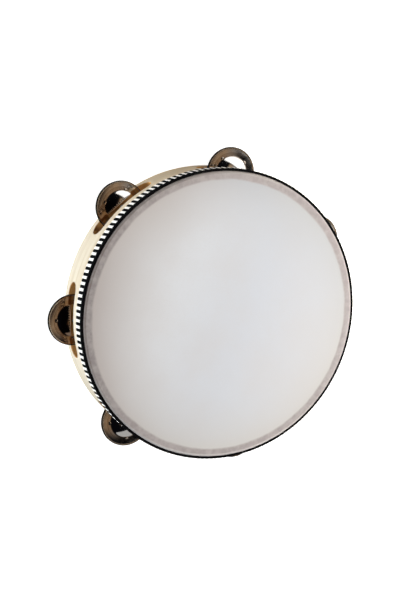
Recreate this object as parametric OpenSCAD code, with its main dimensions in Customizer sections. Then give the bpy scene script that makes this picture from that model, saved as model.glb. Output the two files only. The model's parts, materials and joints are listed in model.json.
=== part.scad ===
// Headed tambourine: a bent wooden hoop with a skin head, a braid round the head's edge
// and a ring of slots, each with a pin that carries a pair of jingles.
// It lies on its open rim with the head up. The origin is the centre of the open rim's face,
// +Z points to the head, and the first slot is on +Y.

/* [Hoop] */
// Outer diameter of the wooden hoop
hoop_d = 249; // [200:1:320]
// Height of the hoop, from its open rim to the edge under the head
hoop_h = 54.5; // [44:0.5:70]
// Thickness of the hoop's wall
wall_t = 6.5; // [5:0.25:9]
// Rounding of the hoop's four edges
edge_r = 1.5; // [0.5:0.25:2]

/* [Head] */
// Thickness of the skin
skin_t = 0.5; // [0.3:0.05:0.9]
// How far the skin is folded down the outside of the hoop
skirt_h = 12; // [9:0.5:14]

/* [Braid] */
// Height of the braid
braid_h = 14.5; // [13:0.5:18]
// Thickness of the braid's flat band
braid_t = 1.9; // [1.2:0.1:2.4]
// Diameter of the cord along the braid's upper edge
cord_d = 2.3; // [2:0.1:3]
// How far the braid's upper edge lies below the face of the head
braid_drop = 0.7; // [0.3:0.1:2]

/* [Jingle slots] */
// Number of slots
slot_count = 7; // [4:1:9]
// Length of a slot along the hoop, over its round ends
slot_l = 66; // [54:1:74]
// Height of a slot
slot_h = 17; // [14:0.5:22]
// Wood between the open rim and a slot
strip_h = 8; // [5:0.5:13]

/* [Jingles] */
// Diameter of a jingle
jingle_d = 44.5; // [38:0.5:52]
// Height of a jingle, from its rim to the top of its dome
jingle_h = 5.4; // [4.6:0.1:6.4]
// Diameter of the dome where it rises from the flange
dome_d = 28.4; // [22:0.2:34]
// How far the flange falls from the dome's foot to the rim
flange_fall = 1; // [0:0.1:1.5]
// Thickness of the sheet metal
sheet_t = 0.5; // [0.3:0.05:0.7]
// Thickness of the bead rolled round the rim
bead_d = 1.2; // [0.9:0.1:1.6]

/* [Pins and tacks] */
// Diameter of a jingle pin
pin_d = 2.4; // [1.8:0.1:3]
// How far a pin's shank goes into the wood above its slot
pin_seat = 8; // [5:0.5:14]
// Length of a pin's point
pin_point = 3; // [1:0.5:5]
// How far a pin's flat end lies inside the open rim
pin_inset = 0.5; // [0.2:0.1:2]
// Number of tacks to each slot
tacks_per_slot = 4; // [2:1:6]
// Diameter of a tack's head
tack_head_d = 4; // [3:0.2:5]
// Diameter of a tack's shank
tack_d = 1.2; // [0.8:0.1:1.6]
// Length of a tack under its head
tack_l = 4.5; // [3:0.25:4.5]
// Height of the tacks above the skin's lower edge
tack_rise = 4; // [3:0.5:6]

/* [Fits] */
// Gap round a pin in its bore in the hoop
pin_play = 0.05; // [0.02:0.01:0.1]
// Gap round a pin in a jingle's hole
jingle_play = 0.6; // [0.3:0.1:0.9]
// Gap under and over a jingle at the ends of its travel
rest_gap = 0.3; // [0.2:0.05:0.5]
// Thickness of the glue between hoop, skin and braid, and the gap round a tack
glue_t = 0.05; // [0.02:0.01:0.1]

/* [Hidden] */
// Facets of a whole circle, and steps along a rounded stretch of an outline
$fn = 96;
ARC_STEPS = 6;
DOME_STEPS = 10;
// How far a cutter runs past the face that it opens
CUT = 1;

hoop_r = hoop_d / 2;
wall_mid_r = hoop_r - wall_t / 2;
head_z = hoop_h + skin_t;
skirt_r = hoop_r + glue_t;
skin_r = skirt_r + skin_t;
braid_r = skin_r + glue_t;
braid_top = head_z - braid_drop;
slot_top = strip_h + slot_h;
pin_r = pin_d / 2;
pin_top = slot_top + pin_seat + pin_point;
bead_r = bead_d / 2;
// The planes where the two rims of a pair face each other, with the pair at rest on the slot's floor
lower_rim_z = strip_h + rest_gap + jingle_h;
upper_rim_z = lower_rim_z + rest_gap;
// Free travel of a pair in its slot, which its two jingles share equally
jingle_travel = (slot_top - rest_gap - upper_rim_z - jingle_h) / 2;
tack_count = slot_count * tacks_per_slot;
tack_z = head_z - skirt_h + tack_rise;
tack_head_t = skin_t - glue_t;

echo(travel_of_each_jingle_mm = jingle_travel);

// Points of an arc about [x, y], from angle a to angle b
function arc(x, y, r, a, b, steps = ARC_STEPS) =
    [for (i = [0:steps]) let (t = a + (b - a) * i / steps) [x + r * cos(t), y + r * sin(t)]];

// Points of a rounded rectangle between two corners
function rounded(low, high, r) = concat(
    arc(high.x - r, high.y - r, r, 0, 90),
    arc(low.x + r, high.y - r, r, 90, 180),
    arc(low.x + r, low.y + r, r, 180, 270),
    arc(high.x - r, low.y + r, r, 270, 360)
);

// Points of a round cap about the axis, of ball radius r with its centre at height z, between two radii
function cap(r, z, from, to) =
    [for (i = [0:DOME_STEPS]) let (x = from + (to - from) * i / DOME_STEPS) [x, z + sqrt(r * r - x * x)]];

// Turns and places something that is made on +X to slot number i
module at_slot(i) {
    rotate([0, 0, 90 + (i - 1) * 360 / slot_count])
        translate([wall_mid_r, 0, 0])
            children();
}

// Turns something that is made on +X to each tack's place, half a step to the side of the slots' middles
module at_tacks() {
    for (i = [1:tack_count])
        rotate([0, 0, 90 + (i - 0.5) * 360 / tack_count])
            translate([skirt_r, 0, tack_z])
                rotate([0, 90, 0])
                    children();
}

// The hole for the jingles: a long slot with round ends, straight through the wall
module slot_cut() {
    through = wall_t + slot_l * slot_l / hoop_d + 2 * CUT;
    translate([-through / 2, 0, strip_h + slot_h / 2])
        rotate([90, 0, 90])
            linear_extrude(through)
                union() {
                    square([slot_l - slot_h, slot_h], center = true);
                    for (side = [-1, 1])
                        translate([side * (slot_l - slot_h) / 2, 0])
                            circle(d = slot_h);
                }
}

module pin_bore() {
    translate([0, 0, -CUT])
        cylinder(h = pin_top + rest_gap + CUT, r = pin_r + pin_play);
}

module hoop() {
    color([0.93, 0.87, 0.75])
        difference() {
            rotate_extrude()
                polygon(rounded([hoop_r - wall_t, 0], [hoop_r, hoop_h], edge_r));
            for (i = [1:slot_count])
                at_slot(i) {
                    slot_cut();
                    pin_bore();
                }
            at_tacks()
                translate([0, 0, -tack_l - rest_gap])
                    cylinder(h = tack_l + rest_gap + CUT, d = tack_d + 2 * glue_t);
        }
}

// The skin is flat on the hoop's edge, turns over the rounded corner and ends in a skirt
module head_skin() {
    corner = [skirt_r - edge_r, hoop_h - edge_r];
    color([0.86, 0.85, 0.84])
        difference() {
            rotate_extrude()
                polygon(concat(
                    [[0, hoop_h], [0, head_z]],
                    arc(corner.x, corner.y, edge_r + skin_t, 90, 0),
                    [[skin_r, head_z - skirt_h], [skirt_r, head_z - skirt_h]],
                    arc(corner.x, corner.y, edge_r, 0, 90)
                ));
            at_tacks()
                translate([0, 0, -CUT])
                    cylinder(h = 2 * CUT + skin_t, d = tack_head_d + 2 * glue_t);
        }
}

// A flat woven band with a round cord along its upper edge
module edge_braid() {
    band_top = braid_top - cord_d / 2;
    color([0.12, 0.12, 0.13])
        rotate_extrude()
            union() {
                polygon(rounded([braid_r, braid_top - braid_h], [braid_r + braid_t, band_top], braid_t / 4));
                translate([braid_r + cord_d / 2, band_top])
                    circle(d = cord_d);
            }
}

// Flat-headed tacks that hold the skirt to the hoop under the braid
module head_tacks() {
    color([0.45, 0.46, 0.48])
        at_tacks()
            union() {
                cylinder(h = tack_head_t, d = tack_head_d);
                translate([0, 0, -tack_l])
                    cylinder(h = tack_l + tack_head_t / 2, d = tack_d);
            }
}

module jingle_pin() {
    color([0.62, 0.63, 0.65])
        rotate_extrude()
            polygon([
                [0, pin_inset],
                [pin_r, pin_inset],
                [pin_r, pin_top - pin_point],
                [0, pin_top]
            ]);
}

// A jingle with its rim on z = 0 and its dome up: dome, sloping flange and rolled bead in one sheet
module jingle() {
    hole_r = pin_r + jingle_play;
    dome_r = dome_d / 2;
    bead_x = jingle_d / 2 - bead_r;
    foot_z = bead_r + sheet_t / 2 + flange_fall;
    rise = jingle_h - foot_z;
    ball_r = (dome_r * dome_r + rise * rise) / (2 * rise);
    ball_z = jingle_h - ball_r;
    ball_in = ball_r - sheet_t;
    drop_in = foot_z - sheet_t - ball_z;
    dome_in = sqrt(ball_in * ball_in - drop_in * drop_in);
    turn = 180 - asin(sheet_t / bead_d);
    color([0.78, 0.77, 0.74])
        rotate_extrude()
            polygon(concat(
                cap(ball_r, ball_z, hole_r, dome_r),
                arc(bead_x, bead_r, bead_r, turn, -turn, 2 * ARC_STEPS),
                cap(ball_in, ball_z, dome_in, hole_r)
            ));
}

module jingle_lower() {
    translate([0, 0, lower_rim_z])
        mirror([0, 0, 1])
            jingle();
}

module jingle_upper() {
    translate([0, 0, upper_rim_z])
        jingle();
}

hoop();
head_skin();
edge_braid();
head_tacks();
for (i = [1:slot_count]) {
    at_slot(i) jingle_pin();
    at_slot(i) jingle_lower();
    at_slot(i) jingle_upper();
}
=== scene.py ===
"""A headed tambourine, dressed over its solids: bent wood, skin, braid, jingles and a pale studio."""

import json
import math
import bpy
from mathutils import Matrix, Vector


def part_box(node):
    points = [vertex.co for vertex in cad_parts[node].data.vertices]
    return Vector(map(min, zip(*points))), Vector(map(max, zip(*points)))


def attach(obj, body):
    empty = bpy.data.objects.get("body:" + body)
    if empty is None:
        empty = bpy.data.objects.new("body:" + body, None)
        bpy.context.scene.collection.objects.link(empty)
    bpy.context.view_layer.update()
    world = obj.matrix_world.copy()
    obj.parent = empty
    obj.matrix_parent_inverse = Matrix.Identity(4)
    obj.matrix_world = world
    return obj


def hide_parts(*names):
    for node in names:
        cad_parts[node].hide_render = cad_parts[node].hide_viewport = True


bl_info = {
    "name": "Headed tambourine",
    "version": (1, 0, 0),
    "blender": (4, 5, 0),
    "location": "View3D > Sidebar > Tambourine",
    "description": "Dresses a headed tambourine with wood, skin, braid and jingles",
    "category": "Add Mesh",
}

import bmesh
import bpy
import numpy as np
from bpy.props import FloatProperty, FloatVectorProperty, IntProperty, PointerProperty
from mathutils import Matrix, Vector

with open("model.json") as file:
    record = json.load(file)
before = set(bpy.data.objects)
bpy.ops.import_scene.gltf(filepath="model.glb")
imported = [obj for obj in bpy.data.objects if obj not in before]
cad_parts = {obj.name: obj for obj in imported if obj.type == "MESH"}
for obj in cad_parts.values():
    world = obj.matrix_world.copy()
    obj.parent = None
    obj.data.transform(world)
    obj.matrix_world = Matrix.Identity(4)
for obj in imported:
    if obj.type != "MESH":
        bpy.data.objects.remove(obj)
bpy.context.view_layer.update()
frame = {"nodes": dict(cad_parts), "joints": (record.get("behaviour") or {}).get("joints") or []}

MM = 0.001
TURN = 2 * math.pi
MERGE_DISTANCE = 1e-6
MAP_NAME = "pattern"

# The solids' own places, which the pieces follow
_, HOOP_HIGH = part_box("hoop")
SKIN_LOW, SKIN_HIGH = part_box("head_skin")
BRAID_LOW, BRAID_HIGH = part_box("edge_braid")
PIN_JOINTS = [joint for joint in frame["joints"] if joint["name"].startswith("pin_spin")]
SETS = len(PIN_JOINTS)
PIN_CIRCLE = math.hypot(*PIN_JOINTS[0]["pos_m"][:2])
PIN_ANGLES = np.array([math.atan2(joint["pos_m"][1], joint["pos_m"][0]) for joint in PIN_JOINTS])
# Angles in radians: half of one slot's share of the hoop, and where the hoop's ends meet
HALF_SHARE = math.pi / SETS
ENDS_MEET = PIN_ANGLES[0] - HALF_SHARE
# How far each set's upper jingle happens to be turned on its pin, in degrees
FIRST_NUBS = (20, 75, 148, 189, 293, 296, 250)
# How much farther the lower one is turned, in radians
LOWER_TURN = 1.2
# Where round the hoop the painted reflection of the wood on the jingles is centred
PAINTED_REFLECTION_ANGLE = math.radians(-75)

# Counts of points in the meshes, and the span of the finer points about a jingle's crease
SHARE_STEPS = 48
SLOT_END_STEPS = 22
SLOT_ARC_STEPS = 12
WALL_ROWS = 15
LIP_STEPS = 4
THROUGH_ROWS = 8
RIM_ROWS = 10
EDGE_STEPS = 6
FACE_STEPS = 72
CORNER_STEPS = 8
HEAD_STEPS = 256
BAR_PAIR_STEPS = 12
BAND_ROWS = 15
BAND_EDGE_STEPS = 5
CORD_TURN_STEPS = 20
CORD_ROWS = 19
SHEET_STEPS = 34
CREASE_STEPS = 22
CREASE_SPAN = (-2.2 * MM, 2.8 * MM)
BEAD_STEPS = 15
JINGLE_STEPS = 132


def length(words, metres, least=0):
    """A size in metres that a user may change."""
    return FloatProperty(description=words, default=metres, min=least, unit="LENGTH", precision=5)


def plain(words, value):
    """A plain number that a user may change."""
    return FloatProperty(description=words, default=value)


def whole(words, value, least):
    """A count that a user may change."""
    return IntProperty(description=words, default=value, min=least)


def tone(words, colour):
    """A colour that a user may change."""
    return FloatVectorProperty(description=words, default=colour, size=3, min=0, max=1, subtype="COLOR")


def degrees(words, angle):
    """An angle that a user may change, given here in degrees."""
    return FloatProperty(description=words, default=math.radians(angle), subtype="ANGLE")


class HoopSizes(bpy.types.PropertyGroup):
    """Sizes of the bent wooden hoop."""

    radius: length("Outer radius of the hoop", HOOP_HIGH.x)
    height: length("Height of the hoop under the skin", HOOP_HIGH.z)
    wall: length("Thickness of the wood", 6.5 * MM)
    edge_round: length("Rounding of the hoop's four edges", 1.5 * MM)
    slot_length: length("Length of a slot over its round ends", 66 * MM)
    slot_height: length("Height of a slot", 17 * MM)
    slot_floor: length("Height of a slot's floor above the open rim", 8 * MM)
    slot_round: length("Rounding of a slot's mouth", 0.7 * MM)
    bore_radius: length("Radius of the hole for a pin", 1.25 * MM)
    bore_depth: length("Depth to which a pin's hole is open to the eye", 3 * MM)


class HeadSizes(bpy.types.PropertyGroup):
    """Sizes of the skin head."""

    radius: length("Outer radius of the skin's skirt", SKIN_HIGH.x)
    top: length("Height of the head's face", SKIN_HIGH.z)
    skirt_end: length("Height of the skin's lower edge", SKIN_LOW.z)
    thickness: length("Thickness of the skin", 0.5 * MM)
    corner: length("Rounding of the skin over the hoop's edge", 2 * MM)
    swell: length("Height of the head's slight unevenness", 0.05 * MM)


class BraidSizes(bpy.types.PropertyGroup):
    """Sizes of the braid round the head's edge."""

    pairs: whole("Pairs of light and dark bars round the hoop", 150, 8)
    slant: plain("How many pairs a bar leans over the braid's height", 0.22)
    inner: length("Radius of the braid's back", SKIN_HIGH.x + 0.05 * MM)
    outer: length("Radius over the edge cord", BRAID_HIGH.x)
    top: length("Height of the edge cord's top", BRAID_HIGH.z)
    bottom: length("Height of the braid's lower edge", BRAID_LOW.z)
    band: length("Thickness of the band over its bars", 1.9 * MM)
    relief: length("Depth of the furrow between two bars", 0.5 * MM)
    cord: length("Radius of the edge cord", 1.15 * MM)
    rib_power: plain("Power of the sine that rounds a bar", 0.5)
    cord_turns: whole("Turns of the cord's strands round the hoop", 96, 8)
    cord_relief: plain("Depth of the creases between the cord's strands, as a share", 0.30)
    cord_power: plain("Power of the sine that rounds a strand", 0.45)


class JingleSizes(bpy.types.PropertyGroup):
    """Sizes of the stamped jingles."""

    radius: length("Outer radius of a jingle", 22.25 * MM)
    height: length("Height from the rim to the dome's top", 5.4 * MM)
    dome: length("Radius of the dome at its crease", 14.2 * MM)
    fall: length("How far the flange falls from the crease to the rim", 1.0 * MM)
    crown: length("How far the flange bulges between the crease and the rim", 0.08 * MM)
    sheet: length("Thickness of the metal", 0.5 * MM)
    bead: length("Radius of the bead rolled round the rim", 0.6 * MM)
    hole: length("Radius of the hole for the pin", 1.8 * MM)
    crease: length("Softness of the crease round the dome", 0.14 * MM)
    nubs: whole("Number of stamped nubs round the dome", 4, 0)
    nub_ring: length("Radius of the ring of nubs", 15.0 * MM)
    nub_height: length("Height of a stamped nub", 0.55 * MM)
    nub_width: length("Half width of a stamped nub", 0.75 * MM)
    warp: length("How far the rim is out of flat", 0.06 * MM)


class Finishes(bpy.types.PropertyGroup):
    """Colours of the materials."""

    wood: tone("Pale varnished wood", (0.74, 0.65, 0.515))
    # Painted shade: warmer, darker wood on the hoop's side of -X
    wood_warm_shade: tone("Wood under yellowed varnish", (0.74, 0.60, 0.425))
    wood_dark: tone("Darker streaks of the wood", (0.60, 0.48, 0.325))
    wood_cut: tone("Scorched faces of the slots", (0.60, 0.30, 0.096))
    skin: tone("Skin over the hollow, on the side away from the grip", (0.735, 0.768, 0.832))
    # Painted light: paler skin over the hollow on the side of -Y
    skin_painted_light: tone("Skin over the hollow, on the side of the grip", (0.87, 0.896, 0.938))
    # Warmer patches of the skin, also used as painted warm shade on the side of -Y and near the hoop
    skin_warm_and_shade: tone("Warmer patches of the skin", (0.72, 0.68, 0.66))
    # Painted shade: the skin over the hollow darkens towards the hoop
    skin_rim_shade: tone("Skin over the hollow near the hoop", (0.67, 0.65, 0.625))
    # Painted shade near the hoop on the side of -X, in a cooler tone
    skin_cool_shade: tone("Cooler skin on the side away from the grip", (0.60, 0.64, 0.69))
    # Painted shade near the hoop on the side of -Y, darker and warmer
    skin_shade_minus_y: tone("Skin near the hoop where it is gripped", (0.55, 0.495, 0.475))
    # Painted highlight along the skin's corner over the hoop's edge
    skin_edge_highlight: tone("Skin drawn thin over the hoop's edge", (0.80, 0.775, 0.75))
    # Painted shadow of the cord on the skin's corner, on the side of -Y
    skin_edge_shadow: tone("Skin over the hoop's edge, rubbed dark at the grip", (0.115, 0.068, 0.042))
    skin_band: tone("Skin over the wood", (0.375, 0.33, 0.33))
    braid_dark: tone("Dark bars and edge cord", (0.003, 0.003, 0.0035))
    braid_fuzz: tone("Fuzz on the dark threads", (0.008, 0.008, 0.009))
    braid_light: tone("Light bars", (0.94, 0.90, 0.85))
    # Painted shade in the gaps between the light threads
    braid_thread_shade: tone("Gaps between the light threads", (0.45, 0.44, 0.43))
    nickel: tone("Polished plate of the jingles", (0.72, 0.70, 0.67))
    tarnish: tone("Dulled plate of the flanges", (0.27, 0.20, 0.14))
    # Painted shade: a dark outline round the jingles' rolled rims
    rim_shade: tone("Dirt round the rolled rims", (0.07, 0.06, 0.055))
    # Painted reflection: brown where the jingles next to the wood mirror it, on the side of -Y
    painted_wood_reflection: tone("Brown film on the jingles, next to the wood at the grip", (0.22, 0.11, 0.045))
    steel: tone("Drawn wire of the pins and tacks", (0.42, 0.42, 0.43))
    floor: tone("Pale floor", (0.93, 0.93, 0.93))
    floor_mirrored: tone("The floor as the drum mirrors it", (0.04, 0.035, 0.03))


class StageSettings(bpy.types.PropertyGroup):
    """The camera and the surroundings."""

    azimuth: degrees("Where the camera stands round the drum", -2.07)
    elevation: degrees("How far the camera looks down", 65.3)
    roll: degrees("Turn of the camera about its view", 114.8)
    distance: length("Camera to the head", 1.42)
    aside: length("Head's centre, right of the view", 0.01876, least=-1)
    below: length("Head's centre, below the view", 0.01365, least=-1)
    lens: plain("Focal length in millimetres", 99)
    backdrop: tone("Surroundings as the camera sees them", (0.96, 0.96, 0.96))
    room: tone("Dark surroundings of the drum", (0.003, 0.003, 0.004))
    patch_above: tone("Brown patch, towards the top", (0.50, 0.36, 0.235))
    patch_beyond: tone("Brown patch, towards the far side", (0.47, 0.43, 0.40))
    horizon: tone("Surroundings that only reflections show", (0.30, 0.29, 0.28))


class TambourineSettings(bpy.types.PropertyGroup):
    """All settings of the tambourine."""

    hoop: PointerProperty(type=HoopSizes)
    head: PointerProperty(type=HeadSizes)
    braid: PointerProperty(type=BraidSizes)
    jingle: PointerProperty(type=JingleSizes)
    finish: PointerProperty(type=Finishes)
    stage: PointerProperty(type=StageSettings)


class BuildStep:
    """One step of the build, made from the settings."""

    def execute(self, context):
        self.build(context.scene.tambourine)
        return {"FINISHED"}


# Surfaces


def lattice(points):
    """Quads of one or more grids of points, shaped (..., rows, columns, 3), numbered in order."""
    rows, columns = points.shape[-3:-1]
    row, column = np.meshgrid(np.arange(rows - 1), np.arange(columns - 1), indexing="ij")
    corner = (row * columns + column).reshape(-1)
    quads = np.stack([corner, corner + 1, corner + columns + 1, corner + columns], axis=1)
    grids = points.size // (rows * columns * 3)
    starts = np.arange(grids) * rows * columns
    return (quads[None] + starts[:, None, None]).reshape(-1, 4)


def closed(grid):
    """The grid with its first column repeated at its end."""
    return np.concatenate([grid, grid[..., :1, :]], axis=-2)


def revolve(profile, angles):
    """Grid of a profile of (radius, height) pairs carried round the Z axis through the angles."""
    radius = profile[:, None, 0]
    flat = np.stack([radius * np.cos(angles), radius * np.sin(angles)], axis=-1)
    height = np.broadcast_to(profile[:, None, 1], flat.shape[:2])
    return np.concatenate([flat, height[..., None]], axis=-1)


def arc(centre, radius, start, end, steps):
    """Points of an arc about a centre, between two angles in degrees."""
    angle = np.radians(np.linspace(start, end, steps))
    return np.stack([centre[0] + radius * np.cos(angle), centre[1] + radius * np.sin(angle)], axis=1)


def around_sets(grid):
    """Copies of a grid that is made on +X, one turned to each pin."""
    cos, sin = np.cos(PIN_ANGLES), np.sin(PIN_ANGLES)
    zero, one = np.zeros(SETS), np.ones(SETS)
    turns = np.array([[cos, -sin, zero], [sin, cos, zero], [zero, zero, one]])
    return np.einsum("ijk,rcj->krci", turns, grid)


def put_object(name, data):
    """Adds an object to the scene."""
    made = bpy.data.objects.new(name, data)
    bpy.context.scene.collection.objects.link(made)
    return made


def put_piece(name, grids, material, body, stands_for=(), maps=None):
    """Makes one object of several grids, joined where their edges meet, and sets it on its CAD body."""
    points = np.concatenate([grid.reshape(-1, 3) for grid in grids])
    starts = np.cumsum([0] + [grid.size // 3 for grid in grids[:-1]])
    quads = np.concatenate([lattice(grid) + start for grid, start in zip(grids, starts)])
    mesh = bpy.data.meshes.new(name)
    mesh.from_pydata(points.tolist(), [], quads.tolist(), shade_flat=False)
    if maps is not None:
        places = np.concatenate([grid_map.reshape(-1, 2) for grid_map in maps])
        layer = mesh.uv_layers.new(name=MAP_NAME)
        layer.data.foreach_set("uv", places[quads.reshape(-1)].astype(np.float32).reshape(-1))
    work = bmesh.new()
    work.from_mesh(mesh)
    bmesh.ops.remove_doubles(work, verts=work.verts, dist=MERGE_DISTANCE)
    bmesh.ops.recalc_face_normals(work, faces=work.faces)
    work.to_mesh(mesh)
    work.free()
    mesh.materials.append(material)
    piece = put_object(name, mesh)
    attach(piece, body)
    if stands_for:
        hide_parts(*stands_for)
    return piece


# Hoop


def by_length(line, count):
    """Points evenly spaced along a line of points, without its last one."""
    steps = np.linalg.norm(np.diff(line, axis=0), axis=1)
    along = np.concatenate([[0], np.cumsum(steps)])
    wanted = np.linspace(0, along[-1], count, endpoint=False)
    return np.stack([np.interp(wanted, along, line[:, i]) for i in (0, 1)], axis=1)


def slot_outline(run, radius, height, counts):
    """Closed outline of two half circles joined by straight runs, from its lower left, against the clock.

    It has four parts, cut at 45 degrees on the half circles, each with its own count of points."""
    left, right = (-run, height), (run, height)
    steps = SLOT_ARC_STEPS
    bottom = np.concatenate([arc(left, radius, 225, 270, steps), arc(right, radius, 270, 315, steps)])
    side = arc(right, radius, 315, 405, 2 * steps)
    top = np.concatenate([arc(right, radius, 45, 90, steps), arc(left, radius, 90, 135, steps)])
    other = arc(left, radius, 135, 225, 2 * steps)
    lines = (bottom, side, top, other)
    return np.concatenate([by_length(line, count) for line, count in zip(lines, counts)])


def box_outline(low, high, counts):
    """Closed outline of a rectangle from its lower left corner, against the clock, in four counted sides."""
    corners = np.array([low, (high[0], low[1]), high, (low[0], high[1]), low], float)
    return np.concatenate([by_length(corners[i : i + 2], count) for i, count in enumerate(counts)])


def slotted_wall(size):
    """Wall of one slot's share of the hoop, made on +X.

    Rows go from the outside's border to the slot's mouth, through the wall and back out over the inside. Each
    row is a closed outline, and the rows turn from a rectangle into the slot."""
    counts = (SHARE_STEPS, SLOT_END_STEPS, SHARE_STEPS, SLOT_END_STEPS)
    inner = size.radius - size.wall
    run = (size.slot_length - size.slot_height) / 2
    middle = size.slot_floor + size.slot_height / 2
    border = box_outline((-HALF_SHARE, size.edge_round), (HALF_SHARE, size.height - size.edge_round), counts)

    def mouth(radius, margin):
        """The slot's outline on a cylinder, as angle and height, widened by a margin."""
        outline = slot_outline(run, size.slot_height / 2 + margin, middle, counts)
        outline[:, 0] = np.arcsin(outline[:, 0] / radius)
        return outline

    def wall(radius):
        """Rows of (radius, angle, height) from the border to the slot's rounded mouth."""
        part = np.linspace(0, 1, WALL_ROWS)[:, None, None]
        rows = border * (1 - part) + mouth(radius, size.slot_round) * part
        return np.concatenate([np.full(rows.shape[:2] + (1,), radius), rows], axis=2)

    def row(radius, margin):
        """One row inside the slot."""
        outline = mouth(radius, margin)
        return np.concatenate([np.full((len(outline), 1), radius), outline], axis=1)

    lip = np.linspace(0, math.pi / 2, LIP_STEPS + 1)[1:]
    depth = size.slot_round * (1 - np.cos(lip))
    margin = size.slot_round * (1 - np.sin(lip))
    through = np.linspace(size.radius - depth[-1], inner + depth[-1], THROUGH_ROWS)[1:-1]
    inside = [row(size.radius - d, m) for d, m in zip(depth, margin)]
    inside += [row(radius, 0) for radius in through]
    inside += [row(inner + d, m) for d, m in zip(depth[::-1], margin[::-1])]
    rows = closed(np.concatenate([wall(size.radius), np.array(inside), wall(inner)[::-1]]))
    radius, angle, height = rows[..., 0], rows[..., 1], rows[..., 2]
    return np.stack([radius * np.cos(angle), radius * np.sin(angle), height], axis=-1)


def bored_rim(size):
    """Flat of the open rim over one slot's share of the hoop, made on +X, with the hole for the pin.

    Each row is a closed outline that blends from the flat's border to the hole, then goes down the hole."""
    counts = (SHARE_STEPS, 2, SHARE_STEPS, 2)
    low = size.radius - size.wall + size.edge_round
    high = size.radius - size.edge_round
    border = box_outline((-HALF_SHARE, low), (HALF_SHARE, high), counts)
    circle = slot_outline(0, size.bore_radius, 0, counts)
    across, out = circle[:, 0], PIN_CIRCLE + circle[:, 1]
    hole = np.stack([np.arctan2(across, out), np.hypot(across, out)], axis=1)
    part = np.sqrt(np.linspace(0, 1, RIM_ROWS))[:, None, None]
    rows = border * (1 - part) + hole * part
    flat = np.stack([rows[..., 1] * np.cos(rows[..., 0]), rows[..., 1] * np.sin(rows[..., 0])], axis=-1)
    face = np.concatenate([flat, np.zeros(flat.shape[:2] + (1,))], axis=2)
    end = face[-1] + (0, 0, size.bore_depth)
    centre = np.broadcast_to((PIN_CIRCLE, 0, size.bore_depth), end.shape)
    return closed(np.concatenate([face, end[None], centre[None]]))


class TAMBOURINE_OT_hoop(BuildStep, bpy.types.Operator):
    """Make the bent wooden hoop with its slots"""

    bl_idname = "tambourine.hoop"
    bl_label = "Hoop"

    def build(self, settings):
        size = settings.hoop
        inner = size.radius - size.wall
        edge = size.edge_round
        angles = ENDS_MEET + np.linspace(0, TURN, SETS * SHARE_STEPS + 1)
        top_edge = np.concatenate([
            arc((size.radius - edge, size.height - edge), edge, 0, 90, EDGE_STEPS),
            arc((inner + edge, size.height - edge), edge, 90, 180, EDGE_STEPS),
        ])
        outer_edge = arc((size.radius - edge, edge), edge, -90, 0, EDGE_STEPS)
        inner_edge = arc((inner + edge, edge), edge, 180, 270, EDGE_STEPS)
        grids = [around_sets(slotted_wall(size)), around_sets(bored_rim(size))]
        grids += [revolve(profile, angles) for profile in (top_edge, outer_edge, inner_edge)]
        put_piece("bent_hoop", grids, wood_material(settings), "drum", ["hoop"])


# Head


def skin_profile(size):
    """Section of the skin: out along its face, over the corner, down the skirt and back underneath."""
    corner = (size.radius - size.corner, size.top - size.corner)
    inner = size.corner - size.thickness
    face = np.linspace(0, corner[0], FACE_STEPS, endpoint=False)
    above = np.stack([face, np.full_like(face, size.top)], axis=1)
    below = np.stack([face[::-1], np.full_like(face, size.top - size.thickness)], axis=1)
    hem = np.array([
        (size.radius, size.skirt_end),
        (size.radius - size.thickness, size.skirt_end),
    ])
    return np.concatenate([
        above,
        arc(corner, size.corner, 90, 0, CORNER_STEPS),
        hem,
        arc(corner, inner, 0, 90, CORNER_STEPS),
        below,
    ])


# Waves of the skin's unevenness: radians to the metre along X and along Y, and where each wave starts
WAVES = ((61, 23, 0.4), (-34, 72, 1.9), (97, 88, 4.2))


def swell(x, y, size):
    """Slight unevenness of the stretched skin: a few crossing waves that fade out towards the hoop."""
    reach = size.radius - size.corner
    inside = np.clip(1 - (np.hypot(x, y) / reach) ** 4, 0, 1)
    waves = sum(np.sin(along_x * x + along_y * y + first) for along_x, along_y, first in WAVES)
    return size.swell * inside * waves / len(WAVES)


class TAMBOURINE_OT_head(BuildStep, bpy.types.Operator):
    """Make the stretched skin head"""

    bl_idname = "tambourine.head"
    bl_label = "Head"

    def build(self, settings):
        size = settings.head
        grid = revolve(skin_profile(size), np.linspace(0, TURN, HEAD_STEPS + 1))
        grid[..., 2] += swell(grid[..., 0], grid[..., 1], size)
        piece = put_piece("stretched_skin", [grid], skin_material(settings), "drum", ["head_skin"])


# Braid


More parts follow.
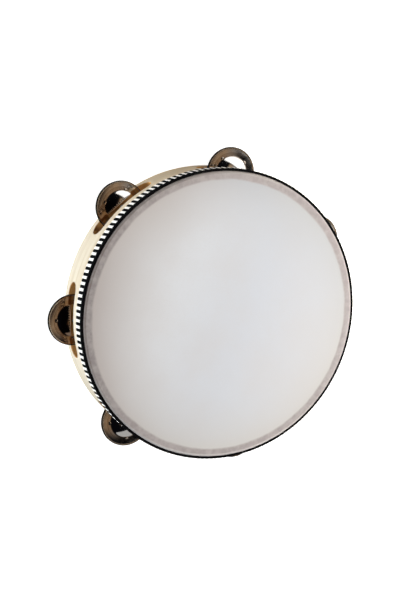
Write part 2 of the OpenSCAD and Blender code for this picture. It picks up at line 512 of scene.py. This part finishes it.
def braid_band(size):
    """Grid of the flat band and its map: a section with a rounded lower edge carried round the hoop.

    The outer face swells into one rib for each light or dark bar, as a power of a sine. The ribs lean with
    height and end in scallops. The map holds the bar pairs passed, leaning alike, and the share of height."""
    columns = np.linspace(0, 1, size.pairs * BAR_PAIR_STEPS + 1)
    top = size.top - size.cord
    tall = top - size.bottom
    inner_x, outer_x = size.inner, size.inner + size.band
    soft = 0.4 * size.band
    face = np.linspace(size.bottom + soft, top, BAND_ROWS)
    section = np.concatenate([
        np.stack([np.full_like(face, outer_x), face], axis=1),
        [(inner_x, top), (inner_x, size.bottom + soft)],
        arc((inner_x + soft, size.bottom + soft), soft, 180, 270, BAND_EDGE_STEPS)[1:],
        arc((outer_x - soft, size.bottom + soft), soft, 270, 360, BAND_EDGE_STEPS),
    ])
    share = (section[:, 1] - size.bottom) / tall
    place = columns[None, :] * size.pairs + size.slant * share[:, None]
    furrow = size.relief * (1 - np.abs(np.sin(TURN * place)) ** size.rib_power)
    outside = np.clip((section[:, 0] - inner_x) / size.band, 0, 1)[:, None]
    radius = section[:, :1] - furrow * outside
    scallop_share = 1 / 6
    low_end = np.clip(1 - share / scallop_share, 0, 1)[:, None]
    height = section[:, 1:] + furrow * low_end
    angle = columns[None, :] * TURN
    grid = np.stack([radius * np.cos(angle), radius * np.sin(angle), height], axis=-1)
    return grid, np.stack([place, np.broadcast_to(share[:, None], place.shape)], axis=-1)


def edge_cord(size):
    """Grid of the two-strand cord and its map: a tube with two narrow creases that wind along it."""
    along = np.linspace(0, TURN, size.cord_turns * CORD_TURN_STEPS + 1)[None, :]
    about = np.linspace(0, TURN, CORD_ROWS)[:, None]
    wound = about - size.cord_turns * along
    strand = np.abs(np.cos(wound)) ** size.cord_power
    tube = size.cord * (1 - size.cord_relief * (1 - strand))
    radius = size.outer - size.cord + tube * np.cos(about)
    height = size.top - size.cord + tube * np.sin(about)
    grid = np.stack([radius * np.cos(along), radius * np.sin(along), height], axis=-1)
    return grid, np.stack([wound / TURN, np.broadcast_to(about / TURN, wound.shape)], axis=-1)


class TAMBOURINE_OT_braid(BuildStep, bpy.types.Operator):
    """Make the braid that covers the skin's edge"""

    bl_idname = "tambourine.braid"
    bl_label = "Braid"

    def build(self, settings):
        band, band_map = braid_band(settings.braid)
        cord, cord_map = edge_cord(settings.braid)
        band_finish = braid_material(settings)
        cord_finish = cord_material(settings)
        put_piece("braid_band", [band], band_finish, "drum", ["edge_braid"], maps=[band_map])
        put_piece("braid_edge_cord", [cord], cord_finish, "drum", maps=[cord_map])


# Jingles


def jingle_section(size):
    """Closed section of a jingle as (radius, height) pairs, with its rim on height 0 and its dome up.

    The sheet's middle is the softened larger of a crowned, sloping flange and a round cap, and the rim is a
    round bead."""
    foot = size.bead + size.sheet / 2 + size.fall
    rise = size.height - foot
    ball = (size.dome**2 + rise**2) / (2 * rise)
    bead_x = size.radius - size.bead
    turn = 180 - math.degrees(math.asin(size.sheet / 2 / size.bead))
    reach = bead_x + size.bead * math.cos(math.radians(turn))
    even = np.linspace(size.hole, reach, SHEET_STEPS)
    dense = size.dome + np.linspace(*CREASE_SPAN, CREASE_STEPS)
    radius = np.unique(np.concatenate([even, dense]))
    out = (radius - size.dome) / (reach - size.dome)
    flange = size.bead + size.fall * (1 - out) + 4 * size.crown * out * (1 - out)
    cap = np.sqrt((ball - size.sheet / 2) ** 2 - radius**2) + size.height - ball
    middle = flange + size.crease * np.log1p(np.exp((cap - flange) / size.crease))
    outer = np.stack([radius, middle + size.sheet / 2], axis=1)
    inner = np.stack([radius, middle - size.sheet / 2], axis=1)
    bead = arc((bead_x, size.bead), size.bead, turn, -turn, BEAD_STEPS)
    return np.concatenate([outer[:-1], bead, inner[-2::-1], outer[:1]])


def jingle(size, first_nub):
    """Grid and map of a jingle about the Z axis: its section turned, with stamped nubs and a slight warp.

    A nub is a round hump of exponential fall-off at the dome's foot. The warp lifts the rim twice a turn, and
    it starts elsewhere on each jingle."""
    columns = np.linspace(0, 1, JINGLE_STEPS + 1)
    section = jingle_section(size)
    grid = revolve(section, columns * TURN)
    radius = section[:, :1]
    gap = ((columns[None, :] - first_nub / TURN) * size.nubs + 0.5) % 1 - 0.5
    away = np.hypot(radius - size.nub_ring, gap * TURN * size.nub_ring / size.nubs)
    grid[..., 2] += size.nub_height * np.exp(-((away / size.nub_width) ** 2))
    grid[..., 2] += size.warp * (radius / size.radius) ** 2 * np.cos(2 * TURN * columns + 9 * first_nub)
    share = np.broadcast_to(radius / size.radius, grid.shape[:2])
    turn = np.broadcast_to(columns[None, :], grid.shape[:2])
    return grid, np.stack([turn, share], axis=-1)


class TAMBOURINE_OT_jingles(BuildStep, bpy.types.Operator):
    """Make the pairs of stamped jingles"""

    bl_idname = "tambourine.jingles"
    bl_label = "Jingles"

    def build(self, settings):
        size = settings.jingle
        finish = nickel_material(settings)
        for number, joint in enumerate(PIN_JOINTS, start=1):
            for side, up in (("lower", -1), ("upper", 1)):
                node = f"jingle_{side}_{number}"
                low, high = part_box(node)
                turn, rim = (0, low.z) if up > 0 else (LOWER_TURN, high.z)
                grid, grid_map = jingle(size, math.radians(FIRST_NUBS[number - 1]) + turn)
                grid = grid * (1, 1, up) + (joint["pos_m"][0], joint["pos_m"][1], rim)
                put_piece(f"jingle_plate_{side}_{number}", [grid], finish, f"{side}_{number}",
                          [node], maps=[grid_map])


class TAMBOURINE_OT_metalwork(BuildStep, bpy.types.Operator):
    """Finish the pins and tacks"""

    bl_idname = "tambourine.metalwork"
    bl_label = "Pins and tacks"

    def build(self, settings):
        finish = steel_material(settings)
        for name, node in frame["nodes"].items():
            if name.startswith("jingle_pin") or name == "head_tacks":
                node.data.materials.clear()
                node.data.materials.append(finish)


# Shader helpers


def new_material(name):
    """A node material: returns the material, its tree and its shader."""
    material = bpy.data.materials.new(name)
    material.use_nodes = True
    tree = material.node_tree
    return material, tree, tree.nodes["Principled BSDF"]


def fill(tree, made, inputs):
    """Links or sets a node's inputs from (socket, value) pairs."""
    for socket, value in inputs:
        if isinstance(value, bpy.types.NodeSocket):
            tree.links.new(value, made.inputs[socket])
        else:
            made.inputs[socket].default_value = value


def put(tree, kind, inputs=(), **settings):
    """Adds a node with its settings and its inputs."""
    made = tree.nodes.new(kind)
    for key, value in settings.items():
        setattr(made, key, value)
    fill(tree, made, inputs)
    return made


def calc(tree, operation, first, second=0.0, third=0.0):
    """The result of a Math node."""
    made = put(tree, "ShaderNodeMath", [(0, first), (1, second), (2, third)], operation=operation)
    return made.outputs[0]


def times(tree, first, second):
    """The product of two values."""
    return calc(tree, "MULTIPLY", first, second)


def lift(tree, value, scale, base):
    """A value scaled and set on a base."""
    return calc(tree, "MULTIPLY_ADD", value, scale, base)


def step(tree, value, low, high, start=0.0, end=1.0):
    """A value carried smoothly from start to end as it goes from low to high."""
    pairs = [("Value", value), ("From Min", low), ("From Max", high), ("To Min", start), ("To Max", end)]
    return put(tree, "ShaderNodeMapRange", pairs, interpolation_type="SMOOTHSTEP").outputs["Result"]


def window(tree, value, rise, fall):
    """1 between a smooth rise and a smooth fall, each given by where it starts and ends, and 0 outside."""
    return times(tree, step(tree, value, *rise), step(tree, value, *fall))


def blend(tree, factor, first, second):
    """The colour between two colours. A plain colour is given as three numbers."""
    first, second = [
        value if isinstance(value, bpy.types.NodeSocket) else (*value, 1.0) for value in (first, second)
    ]
    return put(tree, "ShaderNodeMix", [(0, factor), (6, first), (7, second)], data_type="RGBA").outputs[2]


def noise(tree, vector, scale, detail=3.0, roughness=0.5):
    """Soft noise from 0 to 1, with so many waves to the unit."""
    pairs = [("Vector", vector), ("Scale", scale), ("Detail", detail), ("Roughness", roughness)]
    return put(tree, "ShaderNodeTexNoise", pairs).outputs["Fac"]


def bump(tree, height, strength, distance):
    """The normal of a bumpy surface."""
    pairs = [("Height", height), ("Strength", strength), ("Distance", distance)]
    return put(tree, "ShaderNodeBump", pairs).outputs["Normal"]


def split(tree, vector):
    """The X, Y and Z of a vector."""
    return put(tree, "ShaderNodeSeparateXYZ", [("Vector", vector)]).outputs


def object_point(tree):
    """The point in the drum's own frame, in metres."""
    return put(tree, "ShaderNodeTexCoord").outputs["Object"]


def pattern(tree):
    """The point's place on its piece's map, as X and Y."""
    return split(tree, put(tree, "ShaderNodeUVMap", uv_map=MAP_NAME).outputs["UV"])


def new_group(name, inputs, outputs):
    """A shader node group with named sockets: returns the group, its inside input and its inside output."""
    group = bpy.data.node_groups.new(name, "ShaderNodeTree")
    for label, kind in inputs:
        group.interface.new_socket(label, in_out="INPUT", socket_type=kind)
    for label in outputs:
        group.interface.new_socket(label, in_out="OUTPUT", socket_type="NodeSocketFloat")
    return group, group.nodes.new("NodeGroupInput"), group.nodes.new("NodeGroupOutput")


def use_group(tree, group, **values):
    """Places a group in a material, with its inputs linked or set by name."""
    pairs = [(label.replace("_", " "), value) for label, value in values.items()]
    return put(tree, "ShaderNodeGroup", pairs, node_tree=group).outputs


def round_place():
    """Group: a point's place on the drum, as length round the hoop, height and radius in metres.

    The length starts in the plain wood half a set before the first slot, where the hoop's two ends meet."""
    name = "place on the drum"
    if name in bpy.data.node_groups:
        return bpy.data.node_groups[name]
    group, _, out = new_group(name, [], ["Along", "Height", "Radius"])
    pairs = [("Vector", object_point(group)), ("Rotation", (0, 0, math.pi - ENDS_MEET))]
    parts = split(group, put(group, "ShaderNodeMapping", pairs).outputs["Vector"])
    x, y = parts["X"], parts["Y"]
    radius = calc(group, "SQRT", lift(group, x, x, times(group, y, y)))
    along = times(group, calc(group, "ARCTAN2", y, x), PIN_CIRCLE)
    fill(group, out, [("Along", along), ("Height", parts["Z"]), ("Radius", radius)])
    return group


def handling():
    """Group: marks of handling, as soft patches of a given size in metres and as much finer specks."""
    name = "handling marks"
    if name in bpy.data.node_groups:
        return bpy.data.node_groups[name]
    inputs = [("Vector", "NodeSocketVector"), ("Patch size", "NodeSocketFloat")]
    group, source, out = new_group(name, inputs, ["Patches", "Specks"])
    vector = source.outputs["Vector"]
    scale = calc(group, "DIVIDE", 1.0, source.outputs["Patch size"])
    finer = 28.0
    patches = noise(group, vector, scale, 4.0, 0.55)
    specks = noise(group, vector, times(group, scale, finer), 2.0, 0.6)
    fill(group, out, [
        ("Patches", step(group, patches, 0.32, 0.68)),
        ("Specks", step(group, specks, 0.55, 0.75)),
    ])
    return group


# Materials


def wood_material(settings):
    """Pale bent wood under varnish, made warmer and darker on the side of -X as painted shade.

    Grain and fibres run round the hoop, the slots' faces are scorched, the edges show plies, and a fine seam
    shows where the hoop's ends meet."""
    size, colour = settings.hoop, settings.finish
    material, tree, shader = new_material("pale_bent_wood")
    place = use_group(tree, round_place())
    along, height, radius = place["Along"], place["Height"], place["Radius"]
    point = object_point(tree)

    def grain(lengthwise, crosswise, detail):
        """Noise drawn out round the hoop, with so many waves to the metre along it and across it."""
        vector = put(tree, "ShaderNodeCombineXYZ", [
            ("X", times(tree, along, lengthwise)),
            ("Y", times(tree, height, crosswise)),
            ("Z", times(tree, radius, crosswise)),
        ])
        return noise(tree, vector.outputs["Vector"], 1.0, detail, 0.6)

    broad = grain(9, 130, 4.0)
    fibres = grain(55, 1500, 3.0)
    marks = use_group(tree, handling(), Vector=point, Patch_size=0.03)
    # Painted warm shade on the side of -X
    warm_shade_minus_x = step(tree, split(tree, point)["X"], 0.01, -0.08)
    tint = blend(tree, warm_shade_minus_x, colour.wood, colour.wood_warm_shade)
    tint = blend(tree, step(tree, broad, 0.42, 0.72, end=0.85), tint, colour.wood_dark)
    tint = blend(tree, step(tree, fibres, 0.5, 0.8, end=0.55), tint, colour.wood_dark)

    ply, glue, seam_width, margin = 1.08 * MM, 0.16 * MM, 0.35 * MM, 0.6 * MM
    outer, inner = size.radius, size.radius - size.wall
    floor, top = size.slot_floor, size.slot_floor + size.slot_height
    deep = window(tree, radius, (inner, inner + margin), (outer, outer - margin))
    level = window(tree, height, (floor - margin, floor), (top + margin, top))
    cut = times(tree, deep, level)
    through = calc(tree, "PINGPONG", calc(tree, "SUBTRACT", radius, inner), ply)
    ply_line = times(tree, step(tree, through, 0.0, glue, start=0.5, end=0.0), deep)
    tint = blend(tree, ply_line, tint, colour.wood_dark)
    light_scorch = [1.3 * part for part in colour.wood_cut]
    scorch = blend(tree, step(tree, fibres, 0.3, 0.7), colour.wood_cut, light_scorch)
    tint = blend(tree, cut, tint, scorch)
    half_turn = math.pi * PIN_CIRCLE
    seam = step(tree, calc(tree, "ABSOLUTE", along), half_turn - seam_width, half_turn, end=0.8)
    tint = blend(tree, seam, tint, colour.wood_cut)

    rough = lift(tree, marks["Patches"], 0.10, 0.36)
    relief = calc(tree, "SUBTRACT", lift(tree, broad, 0.5, fibres), times(tree, seam, 3.0))
    fill(tree, shader, [
        ("Base Color", tint),
        ("Roughness", lift(tree, cut, 0.25, rough)),
        ("Normal", bump(tree, relief, 0.25, 0.12 * MM)),
        ("Specular IOR Level", 0.25),
        ("Coat Weight", 0.1),
        ("Coat Roughness", 0.25),
    ])
    return material


def skin_material(settings):
    """Smooth skin with faint fibres: pale over the hollow, dimmer near the hoop by painted shade, mottled
    grey on the wood.

    On the side of -Y the hollow is paler by painted light, the skin near the hoop is warmer and darker by
    painted shade, the band over the wood is darker by painted shade, and the hoop's edge carries a painted
    shadow of the cord; elsewhere the edge carries a painted highlight. On the side of -X the skin near the
    hoop is cooler by painted shade and the band over the wood is lighter by painted light."""
    size, hoop, colour = settings.head, settings.hoop, settings.finish
    material, tree, shader = new_material("drum_skin")
    radius = use_group(tree, round_place())["Radius"]
    point = object_point(tree)
    parts = split(tree, point)
    x, y = parts["X"], parts["Y"]
    aslant = lift(tree, x, -0.5, y)
    # Mask of the side of -Y, where painted shade darkens the rim, the band and the hoop's edge
    minus_y_shade = step(tree, y, 0.03, -0.12)
    # Mask of the side of -X, weaker towards +Y: painted shade cools the rim and painted light brightens the
    # band there
    away = times(tree, step(tree, x, 0.02, -0.11), step(tree, aslant, 0.02, 0.08, start=1.0, end=0.4))
    marks = use_group(tree, handling(), Vector=point, Patch_size=0.045)
    cloud = noise(tree, point, 11.0)
    fibre = noise(tree, point, 420.0, 4.0, 0.65)

    # Painted light: the skin over the hollow is paler on the side of -Y
    tint = blend(tree, step(tree, y, 0.03, -0.08), colour.skin, colour.skin_painted_light)
    # Painted shade: warmer, darker skin towards the side of -Y, added to random warm clouds
    minus_y_warm_shade = step(tree, y, -0.04, -0.11, end=0.45)
    warmth_and_shade = calc(tree, "ADD", minus_y_warm_shade, step(tree, cloud, 0.35, 0.75, end=0.25))
    tint = blend(tree, warmth_and_shade, tint, colour.skin_warm_and_shade)
    tint = blend(tree, times(tree, marks["Patches"], 0.12), tint, colour.skin_warm_and_shade)

    inner = hoop.radius - hoop.wall
    # Painted shade: the skin over the hollow darkens towards the hoop, in a tone of its own on each side
    outward = calc(tree, "POWER", calc(tree, "DIVIDE", radius, inner), 4.0)
    minus_y_side = blend(tree, step(tree, x, 0.045, -0.05, end=0.6), colour.skin_shade_minus_y, colour.skin_warm_and_shade)
    rim = blend(tree, minus_y_shade, blend(tree, away, colour.skin_rim_shade, colour.skin_cool_shade), minus_y_side)
    tint = blend(tree, times(tree, outward, 0.9), tint, rim)

    wavy = lift(tree, noise(tree, point, 60.0, 3.0, 0.6), 2.0 * MM, radius)
    on_wood = step(tree, wavy, inner - 0.2 * MM, inner + 2.2 * MM)
    mottle = step(tree, noise(tree, point, 190.0, 4.0, 0.6), 0.3, 0.75, start=0.08, end=0.42)
    # Painted light and shade: the band over the wood is lighter on the side of -X and darker on the side of
    # -Y
    painted_lit_band, painted_shaded_band = [[share * part for part in colour.skin_band] for share in (1.4, 0.55)]
    band = blend(tree, away, colour.skin_band, painted_lit_band)
    band = blend(tree, times(tree, minus_y_shade, 0.5), band, painted_shaded_band)
    tint = blend(tree, on_wood, tint, blend(tree, mottle, band, colour.skin_warm_and_shade))

    # Painted highlight along the corner, weaker towards +Y, turned into a painted shadow of the cord on the
    # side of -Y
    edge = step(tree, radius, size.radius - 2.7 * MM, size.radius - 1.7 * MM, end=0.55)
    edge = times(tree, edge, step(tree, aslant, 0.04, 0.10, start=1.0, end=0.1))
    tint = blend(tree, edge, tint, blend(tree, minus_y_shade, colour.skin_edge_highlight, colour.skin_edge_shadow))
    tint = blend(tree, step(tree, fibre, 0.45, 0.75, end=0.10), tint, colour.skin_warm_and_shade)
    relief = lift(tree, marks["Specks"], 0.3, fibre)
    fill(tree, shader, [
        ("Base Color", tint),
        ("Roughness", lift(tree, fibre, 0.18, 0.42)),
        ("Normal", bump(tree, relief, 0.15, 0.06 * MM)),
        ("Specular IOR Level", 0.3),
    ])
    return material


def yarn(tree, threads):
    """Fine threads across a piece's map, so many to its X, and the fuzz on them."""
    thread = calc(tree, "PINGPONG", times(tree, pattern(tree)["X"], threads), 0.5)
    return thread, noise(tree, object_point(tree), 2600.0, 3.0, 0.6)


def braid_material(settings):
    """Woven bars: one light and one dark bar to each pair on the map, each bar made of fine threads."""
    colour = settings.finish
    material, tree, shader = new_material("barred_braid")
    parts = pattern(tree)
    thread, fuzz = yarn(tree, 11.0)
    stray = lift(tree, noise(tree, object_point(tree), 900.0, 2.0), 0.10, -0.05)
    along = calc(tree, "FRACT", calc(tree, "ADD", parts["X"], stray))
    height = lift(tree, stray, 0.4, parts["Y"])
    bar = window(tree, along, (0.0, 0.05), (0.5, 0.45))
    light = times(tree, bar, step(tree, height, 0.80, 0.76))
    # Painted shade between the light threads
    gap = step(tree, thread, 0.0, 0.22, start=0.2, end=0.0)
    white = blend(tree, gap, colour.braid_light, colour.braid_thread_shade)
    black = blend(tree, step(tree, fuzz, 0.4, 0.8), colour.braid_dark, colour.braid_fuzz)
    fill(tree, shader, [
        ("Base Color", blend(tree, light, black, white)),
        ("Roughness", lift(tree, fuzz, 0.2, 0.6)),
        ("Normal", bump(tree, lift(tree, fuzz, 0.4, thread), 0.5, 0.12 * MM)),
        ("Specular IOR Level", 0.04),
    ])
    return material


def cord_material(settings):
    """Dark twisted cord with fine threads along its strands."""
    colour = settings.finish
    material, tree, shader = new_material("dark_cord")
    thread, fuzz = yarn(tree, 14.0)
    tint = blend(tree, step(tree, fuzz, 0.4, 0.8, end=0.6), colour.braid_dark, colour.braid_fuzz)
    fill(tree, shader, [
        ("Base Color", tint),
        ("Roughness", lift(tree, fuzz, 0.2, 0.55)),
        ("Normal", bump(tree, lift(tree, fuzz, 0.3, thread), 0.5, 0.12 * MM)),
        ("Specular IOR Level", 0.04),
    ])
    return material


def nickel_material(settings):
    """Polished plate with faint turning lines and smudges: bright on the dome and dulled on the flange.

    Painted shade sits round the rolled rim, and on the side of -Y a brown painted reflection of the wood lies
    on the part next to the wood."""
    size, colour = settings.jingle, settings.finish
    material, tree, shader = new_material("nickel_plate")
    share = pattern(tree)["Y"]
    point = object_point(tree)
    radius = use_group(tree, round_place())["Radius"]
    marks = use_group(tree, handling(), Vector=point, Patch_size=0.006)
    foot = size.dome / size.radius

    def rings(count):
        """Noise in rings round the jingle's middle, so many from there to the rim."""
        vector = put(tree, "ShaderNodeCombineXYZ", [("X", times(tree, share, count))])
        return noise(tree, vector.outputs["Vector"], 1.0, 2.0, 0.6)

    inmost = step(tree, share, foot + 0.22, foot + 0.10, start=0.45, end=0.65)
    dull = lift(tree, marks["Patches"], 0.12, inmost)
    dull = lift(tree, step(tree, rings(24.0), 0.35, 0.65), 0.22, dull)
    dull = times(tree, dull, step(tree, share, foot - 0.03, foot))
    tint = blend(tree, dull, colour.nickel, colour.tarnish)
    tint = blend(tree, times(tree, marks["Specks"], 0.12), tint, colour.tarnish)

    # Painted reflection of the wood on the jingles next to it, round a point on the side of -Y
    minus_y_side = (PIN_CIRCLE * math.cos(PAINTED_REFLECTION_ANGLE), PIN_CIRCLE * math.sin(PAINTED_REFLECTION_ANGLE), 0.0)
    from_minus_y_side = put(tree, "ShaderNodeVectorMath", [(0, point), (1, minus_y_side)], operation="DISTANCE")
    wall = settings.hoop.radius
    by_wood = window(tree, radius, (wall - 1.5 * MM, wall + 0.5 * MM), (wall + 12 * MM, wall + 6.5 * MM))
    painted_wood_reflection = times(tree, by_wood, step(tree, from_minus_y_side.outputs["Value"], 0.098, 0.083, end=0.85))
    tint = blend(tree, painted_wood_reflection, tint, colour.painted_wood_reflection)
    # Painted shade round the rolled rim
    tint = blend(tree, step(tree, share, 0.955, 0.98, end=0.85), tint, colour.rim_shade)
    rough = lift(tree, marks["Patches"], 0.05, 0.06)
    flange = times(tree, dull, step(tree, share, 0.96, 0.94))
    fill(tree, shader, [
        ("Base Color", tint),
        ("Metallic", 1.0),
        ("Roughness", lift(tree, flange, 0.07, rough)),
        ("Normal", bump(tree, rings(130.0), 0.08, 0.03 * MM)),
    ])
    return material


def steel_material(settings):
    """Drawn steel wire with dull patches."""
    colour = settings.finish
    material, tree, shader = new_material("drawn_steel")
    point = object_point(tree)
    marks = use_group(tree, handling(), Vector=point, Patch_size=0.004)
    drawn = put(tree, "ShaderNodeMapping", [("Vector", point), ("Scale", (1, 1, 0.03))]).outputs["Vector"]
    fill(tree, shader, [
        ("Base Color", blend(tree, times(tree, marks["Patches"], 0.4), colour.steel, colour.tarnish)),
        ("Metallic", 1.0),
        ("Roughness", lift(tree, marks["Patches"], 0.2, 0.25)),
        ("Normal", bump(tree, noise(tree, drawn, 5000.0), 0.2, 0.03 * MM)),
    ])
    return material


def floor_material(settings):
    """Pale floor that glows to the camera, so that shadows stay faint, but little to the drum."""
    colour = settings.finish
    material, tree, shader = new_material("pale_floor")
    ray = put(tree, "ShaderNodeLightPath").outputs
    glow = lift(tree, ray["Is Camera Ray"], 0.85, times(tree, ray["Is Diffuse Ray"], 0.15))
    fill(tree, shader, [
        ("Base Color", blend(tree, ray["Is Glossy Ray"], colour.floor, colour.floor_mirrored)),
        ("Roughness", 0.9),
        ("Specular IOR Level", 0.0),
        ("Emission Color", (*colour.floor, 1.0)),
        ("Emission Strength", glow),
    ])
    return material


# Stage

FLOOR_REACH = 6.0
FLOOR_DROP = 0.1 * MM
SENSOR_WIDTH = 36
WHITE, IVORY, WARM, COOL = (1, 1, 1), (1.0, 0.98, 0.95), (1.0, 0.89, 0.75), (0.87, 0.945, 1.0)
# Name, direction from the head, distance, width, height, power, colour, and whether it is a card
LIGHTS = (
    ("key", (-0.80, 0.22, 0.55), 1.2, 1.5, 0.8, 4.7, WARM, False),
    ("key card", (-0.80, 0.12, 0.55), 1.15, 1.7, 0.8, 6.6, WHITE, True),
    ("fill", (0.82, 0.40, 0.41), 1.2, 1.2, 0.5, 2.4, WHITE, False),
    ("fill card", (0.60, 0.66, 0.45), 1.15, 1.5, 0.55, 1.3, WHITE, True),
    ("front", (0.36, -0.92, 0.13), 1.6, 1.0, 0.4, 32.5, COOL, False),
    ("beyond", (-0.25, 0.86, 0.42), 0.75, 1.0, 0.35, 9.3, IVORY, False),
    ("beyond card", (-0.25, 0.86, 0.42), 0.72, 1.0, 0.35, 1.6, WHITE, True),
)


def view_axes(stage):
    """The camera's right, up and backward directions from its azimuth, elevation and roll."""
    a, e, roll = stage.azimuth, stage.elevation, stage.roll
    back = Vector((math.sin(a) * math.cos(e), -math.cos(a) * math.cos(e), math.sin(e)))
    level = Vector((math.cos(a), math.sin(a), 0))
    upright = back.cross(level)
    right = level * math.cos(roll) + upright * math.sin(roll)
    up = upright * math.cos(roll) - level * math.sin(roll)
    return right, up, back


def put_camera(stage):
    """The camera at the photograph's angle, aimed beside the head's centre."""
    right, up, back = view_axes(stage)
    head = Vector((0, 0, SKIN_HIGH.z))
    place = head - right * stage.aside + up * stage.below + back * stage.distance
    data = bpy.data.cameras.new("camera")
    data.lens = stage.lens
    data.sensor_width = SENSOR_WIDTH
    camera = put_object("camera", data)
    camera.matrix_world = Matrix.Translation(place) @ Matrix((right, up, back)).transposed().to_4x4()
    bpy.context.scene.camera = camera


def put_softbox(name, direction, distance, width, height, power, colour, card):
    """A soft rectangular light that faces the head. A card is only mirrored, and the others never are."""
    data = bpy.data.lights.new(name, "AREA")
    data.shape = "RECTANGLE"
    data.size = width
    data.size_y = height
    data.energy = power
    data.color = colour
    light = put_object(name, data)
    towards = Vector(direction).normalized()
    light.location = Vector((0, 0, SKIN_HIGH.z)) + towards * distance
    light.rotation_euler = towards.to_track_quat("Z", "Y").to_euler()
    light.visible_camera = False
    light.visible_diffuse = not card
    light.visible_glossy = card


def put_world(stage):
    """Surroundings: pale to the camera, and dark to the drum but for a dim brown patch above and beyond it.

    Only in reflections, they are grey low down all round and on the side of the grip."""
    world = bpy.data.worlds.new("studio")
    world.use_nodes = True
    bpy.context.scene.world = world
    tree = world.node_tree
    parts = split(tree, put(tree, "ShaderNodeTexCoord").outputs["Generated"])
    x, y, z = parts["X"], parts["Y"], parts["Z"]
    ray = put(tree, "ShaderNodeLightPath").outputs
    above = window(tree, y, (-0.02, 0.13), (0.44, 0.31))
    patch = times(tree, above, window(tree, x, (-0.55, -0.3), (0.42, 0.25)))
    brown = blend(tree, step(tree, y, 0.20, 0.33), stage.patch_above, stage.patch_beyond)
    room = blend(tree, patch, stage.room, brown)
    around = calc(tree, "MAXIMUM", step(tree, z, 0.35, 0.2), step(tree, y, -0.55, -0.75))
    room = blend(tree, times(tree, around, ray["Is Glossy Ray"]), room, stage.horizon)
    shown = blend(tree, ray["Is Camera Ray"], room, stage.backdrop)
    tree.links.new(shown, tree.nodes["Background"].inputs["Color"])


class TAMBOURINE_OT_stage(BuildStep, bpy.types.Operator):
    """Make the floor, the lights and the camera"""

    bl_idname = "tambourine.stage"
    bl_label = "Stage"

    def build(self, settings):
        ends = np.array([-FLOOR_REACH, FLOOR_REACH])
        x, y = np.meshgrid(ends, ends)
        grid = np.stack([x, y, np.full_like(x, -FLOOR_DROP)], axis=-1)
        mesh = bpy.data.meshes.new("floor")
        mesh.from_pydata(grid.reshape(-1, 3).tolist(), [], lattice(grid).tolist())
        mesh.materials.append(floor_material(settings))
        floor = put_object("floor", mesh)
        put_world(settings.stage)
        for light in LIGHTS:
            put_softbox(*light)
        put_camera(settings.stage)
        bpy.context.scene.view_settings.view_transform = "Standard"


class TAMBOURINE_PT_panel(bpy.types.Panel):
    """Lists the tambourine's steps and settings"""

    bl_label = "Tambourine"
    bl_idname = "TAMBOURINE_PT_panel"
    bl_space_type = "VIEW_3D"
    bl_region_type = "UI"
    bl_category = "Tambourine"

    def draw(self, context):
        for operator in OPERATORS:
            self.layout.operator(operator.bl_idname)
        settings = context.scene.tambourine
        for group in settings.bl_rna.properties.keys():
            part = getattr(settings, group, None)
            if isinstance(part, bpy.types.PropertyGroup):
                column = self.layout.column(heading=group)
                for key in part.bl_rna.properties.keys():
                    if key not in {"rna_type", "name"}:
                        column.prop(part, key, text=key.replace("_", " "))


SETTINGS = (HoopSizes, HeadSizes, BraidSizes, JingleSizes, Finishes, StageSettings, TambourineSettings)
OPERATORS = (
    TAMBOURINE_OT_stage,
    TAMBOURINE_OT_hoop,
    TAMBOURINE_OT_head,
    TAMBOURINE_OT_braid,
    TAMBOURINE_OT_jingles,
    TAMBOURINE_OT_metalwork,
)
CLASSES = (*SETTINGS, *OPERATORS, TAMBOURINE_PT_panel)


def register():
    """Makes the steps and settings known."""
    for cls in CLASSES:
        bpy.utils.register_class(cls)
    bpy.types.Scene.tambourine = PointerProperty(type=TambourineSettings)


def unregister():
    """Takes the steps and settings away."""
    del bpy.types.Scene.tambourine
    for cls in reversed(CLASSES):
        bpy.utils.unregister_class(cls)


def main():
    """Builds the scene."""
    register()
    bpy.ops.tambourine.stage()
    bpy.ops.tambourine.hoop()
    bpy.ops.tambourine.head()
    bpy.ops.tambourine.braid()
    bpy.ops.tambourine.jingles()
    bpy.ops.tambourine.metalwork()


if __name__ == "__main__":
    main()
